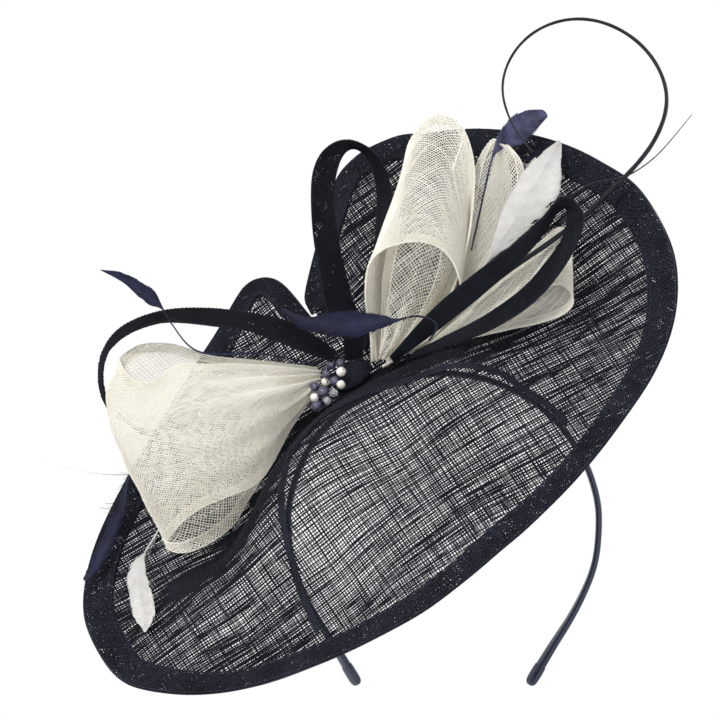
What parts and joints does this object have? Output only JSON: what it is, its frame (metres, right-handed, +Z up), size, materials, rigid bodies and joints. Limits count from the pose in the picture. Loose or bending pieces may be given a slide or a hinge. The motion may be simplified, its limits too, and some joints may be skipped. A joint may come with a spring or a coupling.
{
  "type": "fascinator headpiece",
  "caption": "Woven saucer with a raised crown on a narrow headband, trimmed with fabric loops, strips, feathers, curled quill and a bead cluster.",
  "frame": {"origin": "middle of the headband's inner top facet, where it rests on the head", "axes": "+Z up; the headband's legs point to -Z and lie in the XZ plane; -Y is the wearer's front, where the saucer leans"},
  "size_m": [0.3088, 0.1891, 0.3046],
  "materials": {
    "navy_sinamay": "stiffened open weave, matt",
    "navy_bias": "folded bias strips of the same weave, dense",
    "cream_sinamay": "open weave in cream, faint sheen",
    "navy_satin": "satin ribbon, soft sheen",
    "band_core": "plain dark plastic",
    "navy_felt": "felt",
    "navy_plume": "feather barbs, soft sheen",
    "white_plume": "feather barbs, off-white",
    "dark_quill": "stripped quill, smooth",
    "navy_bead": "frosted glass bead",
    "pearl_bead": "pearl lacquer",
    "clear_crystal": "clear cut glass"
  },
  "bodies": {
    "root": {"band_pad": "navy_felt", "band_tip_left": "navy_satin", "band_tip_right": "navy_satin", "bead_navy_1": "navy_bead", "bead_navy_2": "navy_bead", "bead_navy_3": "navy_bead", "bead_navy_4": "navy_bead", "bead_navy_5": "navy_bead", "bead_navy_6": "navy_bead", "bead_navy_7": "navy_bead", "bead_pearl_1": "pearl_bead", "bead_pearl_2": "pearl_bead", "bead_pearl_3": "pearl_bead", "bead_pearl_4": "pearl_bead", "brim_binding": "navy_bias", "crown_cord": "navy_bias", "crystal_1": "clear_crystal", "crystal_2": "clear_crystal", "feather_navy_centre": "navy_plume", "feather_navy_left": "navy_plume", "feather_navy_rim": "navy_plume", "feather_navy_top": "navy_plume", "feather_white_left": "white_plume", "feather_white_top": "white_plume", "headband_core": "band_core", "headband_satin": "navy_satin", "loop_cream_behind": "cream_sinamay", "loop_cream_left": "cream_sinamay", "loop_cream_right": "cream_sinamay", "loop_cream_roll": "cream_sinamay", "loop_navy_left": "navy_bias", "loop_navy_right": "navy_bias", "loop_navy_tall": "navy_bias", "quill_cream": "white_plume", "quill_curled": "dark_quill", "quill_navy_fine": "dark_quill", "saucer_sinamay": "navy_sinamay", "trim_base": "navy_sinamay", "wisp_cream": "white_plume"}
  },
  "joints": []
}
